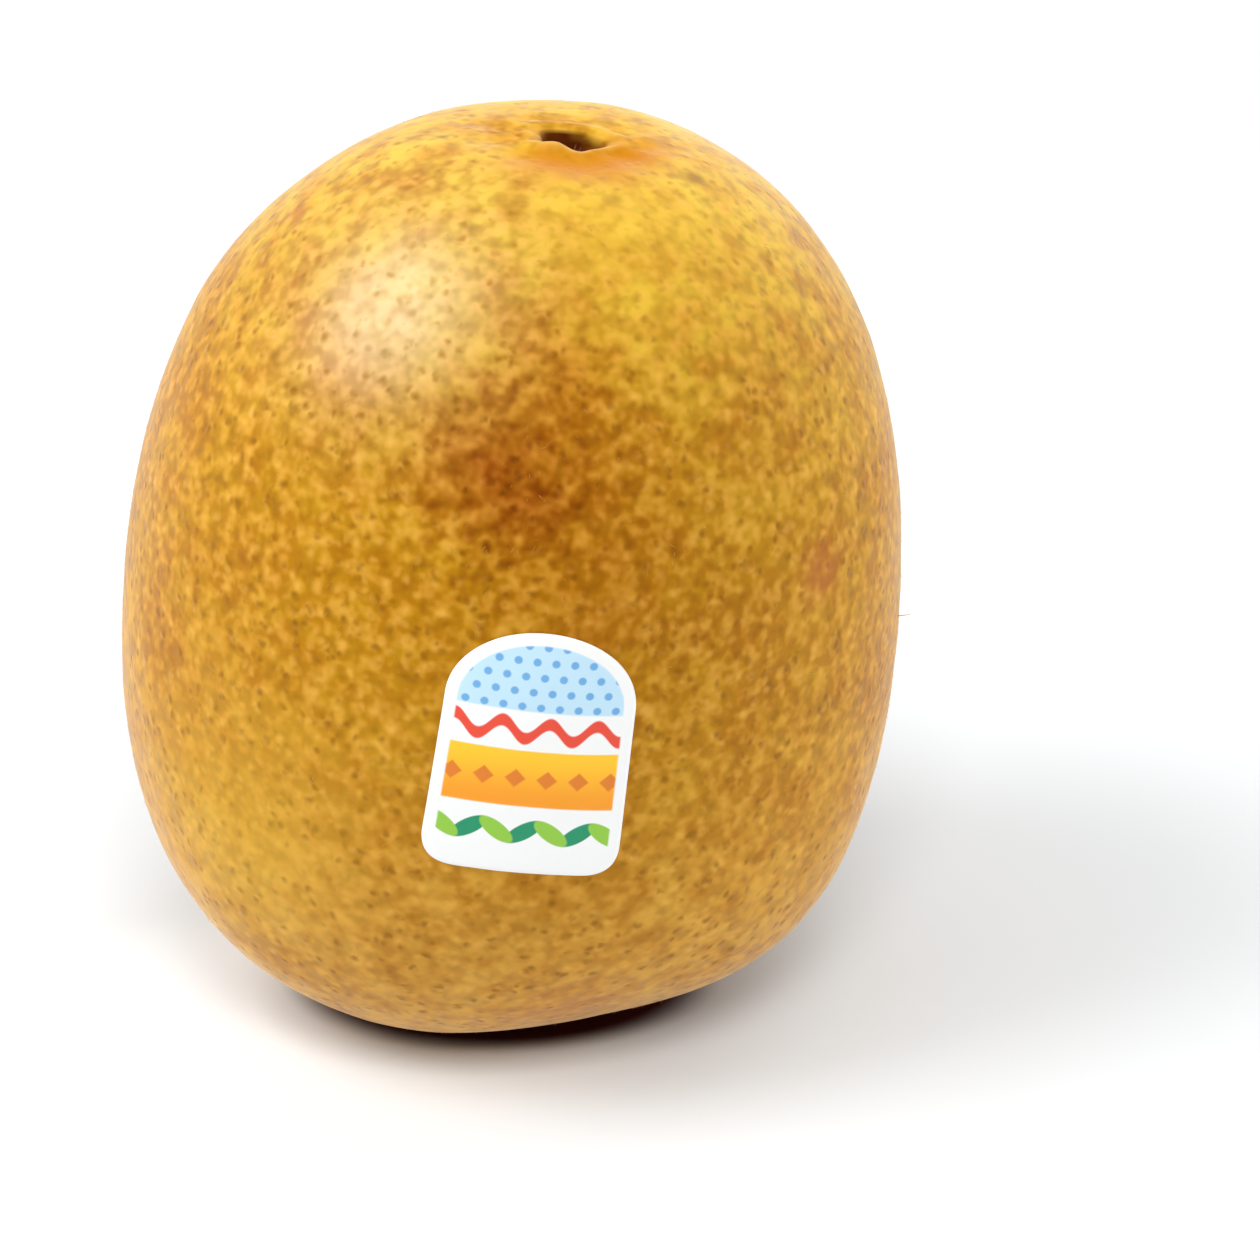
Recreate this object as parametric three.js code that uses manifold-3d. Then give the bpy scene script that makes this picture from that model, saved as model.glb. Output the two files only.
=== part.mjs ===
// A whole golden kiwi fruit with its paper label, standing on its blossom end.
// Millimetres and degrees, +Z up, the front with the label facing -Y.
// The origin lies on the surface that the fruit stands on, under the middle of its box, label included.
import * as THREE from 'three';
import { mergeVertices } from 'three/addons/utils/BufferGeometryUtils.js';
import Module from 'manifold-3d';

const wasm = await Module();
wasm.setup();

// Driving sizes of the fruit
const WIDTH = 56;
const THICKNESS = 53;
const LEAN = 6.1;
const FLAT_SPOT_SUNK = 0.6;

// Each half of the outline, from the widest level to an end, is one Lame curve:
// (radius / half width) ^ cap + (height / half height) ^ side = 1
const STEM_HALF = { height: 36.9, cap: 2.3, side: 2.19 };
const BLOSSOM_HALF = { height: 31.05, cap: 2.07, side: 2.81 };

// The shallow basin at the stem end, its corky lip, and the pit where the stalk broke off
const BASIN = { depth: 1.1, radius: 6.2 };
const STEM_LIP = { height: 0.3, radius: 3.1, width: 0.8 };
const STEM_PIT = { depth: 1.9, floorRadius: 1.5, mouthRadius: 2.2 };
const STALK_PLUG = { height: 0.8, radius: 0.9 };
const PUCKERS = { count: 9, depth: 0.12, radius: 5.4, width: 2.0 };

// How far the stalk scar lies from the fruit's axis, and the radius over which the skin follows it
const SCAR_SHIFT = { x: 0.6, y: -0.4, radius: 6 };

// The higher stretch of the stem pit's rim, in front and to the left of the pit
const RIM_SWELL = { x: -1.1, y: -1.9, height: 0.6, reach: 1.1, from: 1.4, to: 2.1 };

// The scar at the blossom end, with the dried styles of the flower in it
const BLOSSOM_PIT = { depth: 2.0, floorRadius: 2.2, mouthRadius: 3.0 };
const BLOSSOM_RIM = { height: 0.2, radius: 3.6, width: 0.8 };
const STYLES = { count: 24, length: 1.5, radius: 0.24, sunk: 0.4, spread: 1.7, splay: 24, sides: 4 };
const FIBRES = { count: 11, length: 1.2, radius: 0.22, sunk: 0.4, spread: 1.3, splay: 14, sides: 4 };

// The pits are not quite round: waves of the radius, as a share of it
const PIT_WAVES = [
  { lobes: 2, share: 0.08, turn: 5 },
  { lobes: 3, share: 0.08, turn: 10 },
  { lobes: 5, share: 0.05, turn: 0 },
];
const WAVES_FADE = { from: 3, to: 8 };

// Swells and flats that the fruit grew with. around is the angle from +X, up the latitude.
const SWELLS = [
  { around: 44, up: 56, height: 0.42, spread: 20 },
  { around: 159, up: 37, height: 0.36, spread: 20 },
  { around: 210, up: -47, height: 0.55, spread: 20 },
  { around: 335, up: -42, height: 0.4, spread: 18 },
  { around: 300, up: -58, height: -1.03, spread: 20 },
  { around: 250, up: -62, height: 0.69, spread: 20 },
  { around: 7, up: 17, height: -0.33, spread: 24 },
  { around: 136, up: 56, height: -0.42, spread: 16 },
  { around: 194, up: -27, height: -0.39, spread: 18 },
  { around: 276, up: 22, height: 0.45, spread: 20 },
  { around: 236, up: 28, height: -0.3, spread: 24 },
  { around: 312, up: 6, height: -0.3, spread: 26 },
  { around: 80, up: -8, height: 0.3, spread: 30 },
  { around: 118, up: 12, height: -0.28, spread: 24 },
];

// The label, with a flat foot, round corners and an arched top, lying just clear of the skin
const LABEL = { height: 18.4, footWidth: 13.8, shoulderWidth: 13.2, corner: 2.4, arch: 5.4 };
const LABEL_THICKNESS = 0.4;
const LABEL_GAP = 0.36;
const LABEL_CENTRE = { around: 273, height: 31.4 };
const LABEL_TURN = -7.5;
const LABEL_RINGS = 4;
const LABEL_SIDES = 40;

// How finely the fruit is cut into faces
const AROUND = 64;
const BODY_RINGS = 14;
const FINE_STEP = 0.42;
const FINE_WITHIN = 3.4;
const STEP_GROWTH = 1.28;
const CAP_RADIUS = 10;

const HALF_WIDTH = WIDTH / 2;
const GROUND = 4 * WIDTH;
const SEED = 7;

const radians = THREE.MathUtils.degToRad;
const bell = (distance, width) => Math.exp(-((distance / width) ** 2));
const { smoothstep } = THREE.MathUtils;

function directionOf({ around, up }) {
  const level = new THREE.Vector2(Math.cos(radians(up)), 0).rotateAround(new THREE.Vector2(), radians(around));
  return new THREE.Vector3(level.x, level.y, Math.sin(radians(up)));
}

// Repeatable random numbers from 0 to 1
function randomFrom(seed) {
  let state = seed;
  return () => {
    state = (state * 48271) % 2147483647;
    return state / 2147483647;
  };
}

function solidOf(geometry) {
  const bare = geometry.clone();
  bare.deleteAttribute('normal');
  bare.deleteAttribute('uv');
  const merged = mergeVertices(bare, 1e-4);
  return new wasm.Manifold(new wasm.Mesh({
    numProp: 3,
    vertProperties: new Float32Array(merged.attributes.position.array),
    triVerts: new Uint32Array(merged.index.array),
  }));
}

function geometryOf(solid) {
  const mesh = solid.getMesh();
  const geometry = new THREE.BufferGeometry();
  geometry.setAttribute('position', new THREE.BufferAttribute(mesh.vertProperties, 3));
  geometry.setIndex(new THREE.BufferAttribute(mesh.triVerts, 1));
  geometry.computeVertexNormals();
  return geometry;
}

// Height of a half's bare outline at a radius, measured from the widest level
function outlineHeight(half, radius) {
  return half.height * (1 - (radius / HALF_WIDTH) ** half.cap) ** (1 / half.side);
}

function pitDepth(pit, radius) {
  return pit.depth * (1 - smoothstep(radius, pit.floorRadius, pit.mouthRadius));
}

function stemEndHeight(radius) {
  return outlineHeight(STEM_HALF, radius)
    - BASIN.depth * bell(radius, BASIN.radius)
    + STEM_LIP.height * bell(radius - STEM_LIP.radius, STEM_LIP.width)
    - pitDepth(STEM_PIT, radius)
    + STALK_PLUG.height * bell(radius, STALK_PLUG.radius);
}

function blossomEndHeight(radius) {
  return outlineHeight(BLOSSOM_HALF, radius)
    + BLOSSOM_RIM.height * bell(radius - BLOSSOM_RIM.radius, BLOSSOM_RIM.width)
    - pitDepth(BLOSSOM_PIT, radius);
}

// Radii of the rings on a cap, from its middle outwards: close together at the scar, then ever wider
function capRadii() {
  const radii = [0];
  let step = FINE_STEP;
  while (radii.at(-1) + step < CAP_RADIUS) {
    radii.push(radii.at(-1) + step);
    if (radii.at(-1) > FINE_WITHIN) step *= STEP_GROWTH;
  }
  return radii;
}

// Points of one half's profile from its end on the axis down to the widest level
function halfProfile(half, endHeight, sign) {
  const points = capRadii().map((radius) => new THREE.Vector2(radius, sign * endHeight(radius)));
  const start = Math.acos((CAP_RADIUS / HALF_WIDTH) ** (half.cap / 2));
  for (let ring = 0; ring < BODY_RINGS; ring++) {
    const angle = start * (1 - ring / BODY_RINGS);
    const radius = HALF_WIDTH * Math.cos(angle) ** (2 / half.cap);
    points.push(new THREE.Vector2(radius, sign * half.height * Math.sin(angle) ** (2 / half.side)));
  }
  return points;
}

function fruitProfile() {
  const blossom = halfProfile(BLOSSOM_HALF, blossomEndHeight, -1);
  const stem = halfProfile(STEM_HALF, stemEndHeight, 1);
  return [...blossom, new THREE.Vector2(HALF_WIDTH, 0), ...stem.reverse()];
}

// Share by which the rings near an end leave the round
function pitWave(angle, radius) {
  const fade = 1 - smoothstep(radius, WAVES_FADE.from, WAVES_FADE.to);
  return fade * PIT_WAVES.reduce(
    (sum, wave) => sum + wave.share * Math.cos(wave.lobes * (angle - radians(wave.turn))), 0,
  );
}

function puckerDepth(angle, radius) {
  const fold = 0.5 + 0.5 * Math.cos(PUCKERS.count * angle + 1.3 * Math.sin(2 * angle));
  return PUCKERS.depth * fold * bell(radius - PUCKERS.radius, PUCKERS.width);
}

function rimSwell(x, y) {
  const reached = bell(Math.hypot(x - RIM_SWELL.x, y - RIM_SWELL.y), RIM_SWELL.reach);
  return RIM_SWELL.height * reached * smoothstep(Math.hypot(x, y), RIM_SWELL.from, RIM_SWELL.to);
}

const swellDirections = SWELLS.map(directionOf);

function swellHeight(point) {
  return SWELLS.reduce((sum, swell, i) => {
    const away = THREE.MathUtils.radToDeg(point.angleTo(swellDirections[i]));
    return sum + swell.height * bell(away, swell.spread);
  }, 0);
}

// The turned form, given its oval section, its uneven pits, and its swells
function shapedBody() {
  const geometry = new THREE.LatheGeometry(fruitProfile(), AROUND).rotateX(Math.PI / 2);
  const places = geometry.attributes.position;
  const point = new THREE.Vector3();
  for (let i = 0; i < places.count; i++) {
    point.fromBufferAttribute(places, i);
    const radius = Math.hypot(point.x, point.y);
    const angle = Math.atan2(point.y, point.x);
    const wave = 1 + pitWave(angle, radius);
    const shift = point.z > 0 ? bell(radius, SCAR_SHIFT.radius) : 0;
    const raised = point.z > 0 ? rimSwell(point.x, point.y) - puckerDepth(angle, radius) : 0;
    point.set(
      point.x * wave + SCAR_SHIFT.x * shift,
      point.y * wave * (THICKNESS / WIDTH) + SCAR_SHIFT.y * shift,
      point.z + raised,
    );
    point.setLength(point.length() + swellHeight(point));
    places.setXYZ(i, point.x, point.y, point.z);
  }
  return solidOf(geometry);
}

// A ring of small dried bristles, rooted in a scar's floor and pointing out of it along sign * Z
function bristles({ count, length, radius, sunk, spread, splay, sides }, floor, sign, random) {
  const made = [];
  for (let i = 0; i < count; i++) {
    const out = spread * Math.sqrt((i + 0.5) / count);
    const angle = i * Math.PI * (3 - Math.sqrt(5));
    const tall = length * (0.7 + 0.3 * random()) + sunk;
    const cone = new THREE.ConeGeometry(radius, tall, sides)
      .translate(0, tall / 2 - sunk, 0)
      .rotateX(Math.PI / 2)
      .rotateY(radians(splay * (out / spread) * (0.6 + 0.6 * random())))
      .rotateZ(angle)
      .translate(out * Math.cos(angle), out * Math.sin(angle), floor);
    made.push(solidOf(sign < 0 ? cone.rotateX(Math.PI) : cone));
  }
  return made;
}

function joined(solids) {
  return solids.reduce((whole, piece) => whole.add(piece));
}

// The whole fruit leant over and cut flat where it rests
function fruitGeometry() {
  const random = randomFrom(SEED);
  const stemFloor = outlineHeight(STEM_HALF, 0) - BASIN.depth - STEM_PIT.depth;
  const blossomFloor = outlineHeight(BLOSSOM_HALF, 0) - BLOSSOM_PIT.depth;
  const fibres = bristles(FIBRES, stemFloor, 1, random)
    .map((fibre) => fibre.translate([SCAR_SHIFT.x, SCAR_SHIFT.y, 0]));
  const grown = joined([shapedBody(), ...fibres, ...bristles(STYLES, blossomFloor, -1, random)]);
  const leaning = geometryOf(grown).rotateY(radians(LEAN));
  leaning.computeBoundingBox();
  leaning.translate(0, 0, -leaning.boundingBox.min.z - FLAT_SPOT_SUNK);
  const ground = new THREE.BoxGeometry(GROUND, GROUND, GROUND).translate(0, 0, -GROUND / 2);
  return geometryOf(solidOf(leaning).subtract(solidOf(ground)));
}

// A flat closed disc of radius 1 in the XY plane, its back at z = 0 and its face at z = 1
function unitDisc() {
  const rings = Array.from({ length: LABEL_RINGS + 1 }, (_, ring) => ring / LABEL_RINGS);
  const back = rings.map((radius) => new THREE.Vector2(radius, 0));
  const face = rings.map((radius) => new THREE.Vector2(radius, 1)).reverse();
  return new THREE.LatheGeometry([...back, ...face], LABEL_SIDES).rotateX(Math.PI / 2);
}

// Points evenly spaced round the label's edge, anticlockwise from the middle of its foot
function labelEdge() {
  const { height, footWidth, shoulderWidth, corner, arch } = LABEL;
  const foot = -height / 2;
  const side = footWidth / 2;
  return new THREE.Path()
    .moveTo(0, foot)
    .lineTo(side - corner, foot)
    .quadraticCurveTo(side, foot, side, foot + corner)
    .absellipse(0, height / 2 - arch, shoulderWidth / 2, arch, 0, Math.PI)
    .lineTo(-side, foot + corner)
    .quadraticCurveTo(-side, foot, corner - side, foot)
    .lineTo(0, foot)
    .getSpacedPoints(LABEL_SIDES);
}

// The disc stretched to the label's edge and pressed on to the skin along the label's own axis
function labelGeometry(fruit) {
  const out = directionOf({ around: LABEL_CENTRE.around, up: 0 });
  const middle = new THREE.Vector3(0, 0, LABEL_CENTRE.height);
  const ray = new THREE.Raycaster();
  const skinPoint = (from, along) => {
    ray.set(from, along);
    return ray.intersectObject(fruit)[0];
  };
  const centre = skinPoint(middle.clone().addScaledVector(out, WIDTH), out.clone().negate());
  const facing = centre.face.normal.clone();
  const across = new THREE.Vector3(0, 0, 1).cross(facing).normalize().applyAxisAngle(facing, radians(LABEL_TURN));
  const upwards = facing.clone().cross(across);
  const geometry = unitDisc();
  const places = geometry.attributes.position;
  const edge = labelEdge();
  const placesPerSide = places.count / (LABEL_SIDES + 1);
  for (let i = 0; i < places.count; i++) {
    const share = Math.hypot(places.getX(i), places.getY(i));
    const spot = edge[Math.floor(i / placesPerSide)].clone().multiplyScalar(share);
    const from = centre.point.clone()
      .addScaledVector(across, spot.x)
      .addScaledVector(upwards, spot.y)
      .addScaledVector(facing, WIDTH);
    const at = skinPoint(from, facing.clone().negate()).point;
    at.addScaledVector(facing, LABEL_GAP + places.getZ(i) * LABEL_THICKNESS);
    places.setXYZ(i, at.x, at.y, at.z);
  }
  geometry.computeVertexNormals();
  return geometry;
}

const skin = new THREE.MeshStandardMaterial({ color: '#c58b2c', roughness: 0.55, metalness: 0 });
const paper = new THREE.MeshStandardMaterial({ color: '#f3f1e8', roughness: 0.35, metalness: 0 });

const fruit = new THREE.Mesh(fruitGeometry(), skin);
fruit.name = 'fruit';

const label = new THREE.Mesh(labelGeometry(fruit), paper);
label.name = 'label';

const kiwi = new THREE.Group();
kiwi.name = 'golden_kiwi_fruit';
kiwi.add(fruit, label);

const middle = new THREE.Box3().setFromObject(kiwi).getCenter(new THREE.Vector3());
kiwi.position.set(-middle.x, -middle.y, 0);

export default kiwi;
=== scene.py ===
"""A golden kiwi fruit with its paper label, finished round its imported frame.

The skin, the dried scars at both ends, the down and the label film are grown here at their real
size. Lengths are in millimetres inside the form functions and in metres on every finished piece.
"""

import math
import random

import bmesh
import bpy
import numpy as np
from bpy.props import FloatProperty, FloatVectorProperty, IntProperty, PointerProperty
from mathutils import Matrix, Vector, noise
from mathutils.bvhtree import BVHTree


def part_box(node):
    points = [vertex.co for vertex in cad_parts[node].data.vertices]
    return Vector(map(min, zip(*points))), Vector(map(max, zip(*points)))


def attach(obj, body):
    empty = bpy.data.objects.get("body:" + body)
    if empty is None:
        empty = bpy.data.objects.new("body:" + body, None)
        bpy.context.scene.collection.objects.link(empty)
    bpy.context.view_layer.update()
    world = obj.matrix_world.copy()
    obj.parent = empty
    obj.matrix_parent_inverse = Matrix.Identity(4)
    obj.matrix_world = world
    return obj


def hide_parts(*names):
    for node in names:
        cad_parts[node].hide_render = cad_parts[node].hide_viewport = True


bl_info = {
    "name": "Golden Kiwi Fruit",
    "version": (1, 0, 0),
    "blender": (4, 5, 0),
    "location": "View3D > Sidebar > Kiwi",
    "description": "Grows the skin, scars, down and label of a golden kiwi fruit",
    "category": "Add Mesh",
}

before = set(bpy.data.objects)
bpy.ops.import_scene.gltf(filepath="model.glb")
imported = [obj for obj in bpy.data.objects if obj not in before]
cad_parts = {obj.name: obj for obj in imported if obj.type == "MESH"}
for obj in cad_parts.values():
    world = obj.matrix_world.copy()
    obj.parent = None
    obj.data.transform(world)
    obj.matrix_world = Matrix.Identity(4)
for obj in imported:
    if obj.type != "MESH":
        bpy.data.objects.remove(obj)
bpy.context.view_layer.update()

MM = 0.001
ROOT_BODY = "root"

# The form of the fruit in its own frame, its axis along Z and its widest level at 0
WIDTH = 56.0
THICKNESS = 53.0
HALF_WIDTH = WIDTH / 2
LEAN = math.radians(6.1)
FRUIT_AXIS = Vector((math.sin(LEAN), 0, math.cos(LEAN)))
FLAT_SPOT_SUNK = 0.6
FLAT_SPOT_EASE = 0.12
STEM_HALF = {"height": 36.9, "cap": 2.3, "side": 2.19}
BLOSSOM_HALF = {"height": 31.05, "cap": 2.07, "side": 2.81}
BASIN = {"depth": 1.1, "radius": 6.2}
STEM_LIP = {"height": 0.3, "radius": 3.1, "width": 0.8}
STEM_PIT = {"depth": 1.9, "floor": 1.5, "mouth": 2.2}
STALK_PLUG = {"height": 0.8, "radius": 0.9}
PUCKERS = {"count": 9, "depth": 0.12, "radius": 5.4, "width": 2.0}
SCAR_SHIFT = {"x": 0.6, "y": -0.4, "radius": 6.0}
RIM_SWELL = {"x": -1.1, "y": -1.9, "height": 0.6, "reach": 1.1, "from": 1.4, "to": 2.1}
BASIN_TOWARD = math.radians(-62)
BLOSSOM_PIT = {"depth": 2.0, "floor": 2.2, "mouth": 3.0}
BLOSSOM_RIM = {"height": 0.2, "radius": 3.6, "width": 0.8}
WAVES_FADE = (3.0, 8.0)

# Waves of the pits' radius: lobes, share of the radius, turn in degrees
PIT_WAVES = ((2, 0.08, 5), (3, 0.08, 10), (5, 0.05, 0))

# Swells and flats: angle from +X, latitude, height, and spread in degrees
SWELLS = (
    (44, 56, 0.42, 20),
    (159, 37, 0.36, 20),
    (210, -47, 0.55, 20),
    (335, -42, 0.4, 18),
    (300, -58, -1.03, 20),
    (250, -62, 0.69, 20),
    (7, 17, -0.33, 24),
    (136, 56, -0.42, 16),
    (194, -27, -0.39, 18),
    (276, 22, 0.45, 20),
    (236, 28, -0.3, 24),
    (312, 6, -0.3, 26),
    (80, -8, 0.3, 30),
    (118, 12, -0.28, 24),
)

# Patches of the skin: place on the standing fruit, reach, share at the middle, and which colour
PATCHES = (
    ((-0.7, -22.8, 50.7), 6.5, 0.65, "ruddy"),
    # The shade patches darken the front middle: partly the skin's browner colour there, partly painted
    # shade.
    ((2.8, -22.5, 52.0), 8.5, 0.5, "shade"),
    ((5.5, -25.4, 42.5), 10.0, 0.4, "shade"),
    ((4.5, -18.7, 57.8), 5.0, 0.4, "shade"),
    ((16.0, -13.4, 57.7), 9.0, 0.15, "shade"),
    # Painted light: a paler gold patch at the lower left.
    ((-19.5, -18.7, 22.5), 10.0, 0.28, "gold"),
    ((21.5, -16.2, 40.5), 2.6, 0.55, "blush"),
    ((-14.7, -2.7, 62.2), 1.1, 0.6, "blush"),
    ((13.0, -3.2, 65.0), 1.0, 0.7, "dot"),
    ((11.4, -3.8, 65.4), 0.6, 0.6, "dot"),
    ((9.6, -10.0, 64.1), 9.0, 0.3, "gold"),
    ((3.5, -18.4, 7.4), 6.0, 0.25, "blush"),
    # Painted highlight: a paler, creamier patch where the key light's reflection falls.
    ((-7.6, -14.6, 60.5), 6.5, 0.3, "painted_highlight"),
)

# Patches of these colours darken the skin under them, and the others cover it
TINTS = ("ruddy", "shade")

# The waxy patch at the upper left, and the skin's gloss
SHINE = {"at": (-7.6, -14.6, 60.5), "reach": 15.0}
SKIN_GLOSS = {
    "Specular IOR Level": 0.26,
    "Coat Roughness": 0.42,
    "Coat IOR": 1.7,
    "Sheen Weight": 0.4,
    "Sheen Roughness": 0.3,
    "Sheen Tint": (1.0, 0.82, 0.62, 1),
}

# Distances from the stem end over which the skin's colour changes, in metres
GOLD_TO_BRONZE = (0.011, 0.034)
BRONZE_TO_TAN = (0.038, 0.060)
GRAIN_SOFTENS = (0.034, 0.060)
SPECKS_BEGIN = (0.014, 0.028)
DOTS_THIN_OUT = (0.042, 0.056)

# How finely the skin is cut
SKIN_STEPS = 288
SKIN_RINGS = 84
RING_STEP = 0.16
FINE_WITHIN = 4.2
STEP_GROWTH = 1.13
CAP_RADIUS = 10.0
SKIN_TOLERANCE = 0.35

# The label, with a flat foot, round corners and an arched top
LABEL_HEIGHT = 18.4
LABEL_FOOT = 13.8
LABEL_SHOULDER = 13.2
LABEL_CORNER = 2.4
LABEL_ARCH = 5.4
LABEL_TURN = math.radians(-7.5)
LABEL_AROUND = 273
LABEL_LEVEL = 31.4
LABEL_STEPS = 192
LABEL_RINGS = 26
LABEL_CLEAR = 0.05
LABEL_THICKNESS = 0.13
UV_SPAN = 24.0

# The label's print, in millimetres from its middle. Each edge runs from full colour to none.
PRINT_SOFT = 0.08
DOTS = {"pitch": 1.3, "rows": 1.1, "edge": (0.22, 0.34)}
WAVE = {"level": 2.05, "length": 3.3, "swing": 0.62, "edge": (0.38, 0.55)}
DIAMONDS = {"level": -1.7, "pitch": 2.2, "edge": (0.62, 0.82)}
LEAVES = {"level": -5.9, "pitch": 3.8, "length": 2.9, "width": 1.2, "edge": (0.85, 1.15)}
LEAF_LEAN = 0.62
FIELD_LEVELS = (3.5, 12.0)
WAVE_LEVELS = (0.9, 3.3)
BAND_LEVELS = (-3.9, 0.5)
BAND_FADE = (-3.6, 0.5)
LEAF_LEVELS = (-7.6, -4.2)

# The fine down grows outwards from a middle and keeps off the ground, the label and the two ends.
# Near an end, its direction from the middle and the fruit's axis have a larger product than this.
DOWN_MIDDLE = 31
DOWN_ABOVE_GROUND = 1.2
DOWN_OFF_LABEL = 0.9
NEAR_END = 0.985
FAR_OUT = 80
STRAY_HAIR = {"from": (27.0, -4.0, 31.5), "along": (1.0, -0.1, 0.12), "length": 1.4}

# The stage: lights, the floor's colours with painted light beside the fruit and painted shadow at the
# right, and the painted contact shadow where the fruit meets the floor
KEY_DIRECTION = Vector((-0.644, -0.209, 0.736))
FILL_DIRECTION = Vector((0.05, -0.72, 0.69))
LIGHT_DISTANCE = 0.75
KEY_SIZE = 0.42
FILL_SIZE = 0.26
SENSOR = 36.0
FLOOR_HALF = 4
FLOOR_PALE = (0.55, 0.567, 0.578)
# Painted light: the floor's colour beside the fruit at the left
FLOOR_PAINTED_LIGHT = (0.82, 0.84, 0.855)
# Painted shadow: the floor's colour in the grey spot at the right
FLOOR_PAINTED_SHADOW = (0.49, 0.505, 0.515)
# Painted contact shadow: the floor's colour close round where the fruit meets it
CONTACT_PAINTED_SHADOW = (0.045, 0.006, 0.003)
# Where the painted shadow at the right lies and over what distances it fades, mm
PAINTED_SHADOW_SPOT = {"at": (37.0, 14.0, 0.0), "from": 8.0, "to": 45.0}
# Middle and reach of the painted contact shadow, mm
CONTACT_MIDDLE = (-0.9, 0.6)
CONTACT_REACH = {"aside": 12.8, "front": 9.3, "back": 5.5}


def linear(hex_colour):
    """A web colour as linear red, green and blue."""
    channels = [int(hex_colour[i : i + 2], 16) / 255 for i in (1, 3, 5)]
    return tuple(c / 12.92 if c <= 0.04045 else ((c + 0.055) / 1.055) ** 2.4 for c in channels)


def colour_setting(name, description, hex_colour):
    return FloatVectorProperty(
        name=name,
        description=description,
        subtype="COLOR",
        size=3,
        min=0,
        max=1,
        default=linear(hex_colour),
    )


def in_metres(place):
    return tuple(axis * MM for axis in place)


def bell(distance, width):
    return np.exp(-((distance / width) ** 2))


def ease(value, start, end):
    """0 before start, 1 after end, and a smooth rise between them."""
    share = np.clip((value - start) / (end - start), 0, 1)
    return share * share * (3 - 2 * share)


def toward(around, up):
    """The direction at an angle around from +X and a latitude up, in degrees."""
    around, up = math.radians(around), math.radians(up)
    return np.array((math.cos(up) * math.cos(around), math.cos(up) * math.sin(around), math.sin(up)))


def outline_height(half, radius):
    """Height of a half's bare outline at a radius: one Lame curve."""
    inside = np.clip(1 - (radius / HALF_WIDTH) ** half["cap"], 0, 1)
    return half["height"] * inside ** (1 / half["side"])


def pit_depth(pit, radius):
    return pit["depth"] * (1 - ease(radius, pit["floor"], pit["mouth"]))


def stem_relief(radius):
    """What the basin, lip, pit and stalk plug add to the stem end's bare outline."""
    return (
        STEM_LIP["height"] * bell(radius - STEM_LIP["radius"], STEM_LIP["width"])
        + STALK_PLUG["height"] * bell(radius, STALK_PLUG["radius"])
        - BASIN["depth"] * bell(radius, BASIN["radius"])
        - pit_depth(STEM_PIT, radius)
    )


def blossom_relief(radius):
    """What the rim and the scar add to the blossom end's bare outline."""
    rim = BLOSSOM_RIM["height"] * bell(radius - BLOSSOM_RIM["radius"], BLOSSOM_RIM["width"])
    return rim - pit_depth(BLOSSOM_PIT, radius)


def cap_radii():
    """Radii of a cap's rings from its pole outwards: close together at the scar, then ever wider."""
    radii = [0.0]
    step = RING_STEP
    while radii[-1] + step < CAP_RADIUS:
        radii.append(radii[-1] + step)
        if radii[-1] > FINE_WITHIN:
            step *= STEP_GROWTH
    return np.array(radii)


def body_radii(half):
    """Radii of the rings from a cap to the widest level, evenly spaced along the outline."""
    angles = np.linspace(math.acos((CAP_RADIUS / HALF_WIDTH) ** (half["cap"] / 2)), 0, 20 * SKIN_RINGS)
    radii = HALF_WIDTH * np.cos(angles) ** (2 / half["cap"])
    heights = half["height"] * np.sin(angles) ** (2 / half["side"])
    lengths = np.concatenate(([0], np.cumsum(np.hypot(np.diff(radii), np.diff(heights)))))
    even = np.linspace(0, lengths[-1], SKIN_RINGS)
    return np.interp(even, lengths, radii)


def half_profile(half, relief, sign):
    """Radius and height of each ring from a half's pole to the widest level."""
    radii = np.concatenate((cap_radii(), body_radii(half)))
    return [(r, sign * (outline_height(half, r) + relief(r))) for r in radii]


def pit_wave(angle, radius):
    waves = [share * np.cos(lobes * (angle - math.radians(turn))) for lobes, share, turn in PIT_WAVES]
    return (1 - ease(radius, *WAVES_FADE)) * sum(waves)


def pucker_depth(angle, radius):
    fold = 0.5 + 0.5 * np.cos(PUCKERS["count"] * angle + 1.3 * np.sin(2 * angle))
    return PUCKERS["depth"] * fold * bell(radius - PUCKERS["radius"], PUCKERS["width"])


def rim_swell(points, radius):
    """The higher stretch of the stem pit's rim, in front and to the left of the pit."""
    away = np.hypot(points[:, 0] - RIM_SWELL["x"], points[:, 1] - RIM_SWELL["y"])
    outside_pit = ease(radius, RIM_SWELL["from"], RIM_SWELL["to"])
    return RIM_SWELL["height"] * bell(away, RIM_SWELL["reach"]) * outside_pit


def grown(points):
    """The turned form given its oval section, its uneven pits, its puckers and its swells."""
    radius = np.hypot(points[:, 0], points[:, 1])
    angle = np.arctan2(points[:, 1], points[:, 0])
    wave = 1 + pit_wave(angle, radius)
    form = points * np.stack((wave, wave * THICKNESS / WIDTH, np.ones_like(wave)), axis=1)
    raised = rim_swell(points, radius) - pucker_depth(angle, radius)
    form[:, 2] += np.where(points[:, 2] > 0, raised, 0)
    shift = np.where(points[:, 2] > 0, bell(radius, SCAR_SHIFT["radius"]), 0)
    form[:, 0] += SCAR_SHIFT["x"] * shift
    form[:, 1] += SCAR_SHIFT["y"] * shift
    length = np.linalg.norm(form, axis=1)
    directions = form / length[:, None]
    for around, up, height, spread in SWELLS:
        away = np.degrees(np.arccos(np.clip(directions @ toward(around, up), -1, 1)))
        length = length + height * bell(away, spread)
    return directions * length[:, None]


def lumps(points, settings):
    """Small unevenness of the skin along its outward direction, in millimetres."""
    heights = []
    for point in points:
        place = Vector(point)
        broad = noise.noise(place / settings.lump_size)
        fine = noise.noise(place / settings.dimple_size + Vector((40, 0, 0)))
        heights.append(settings.lump_height * broad + settings.dimple_height * fine)
    return np.array(heights)


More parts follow.
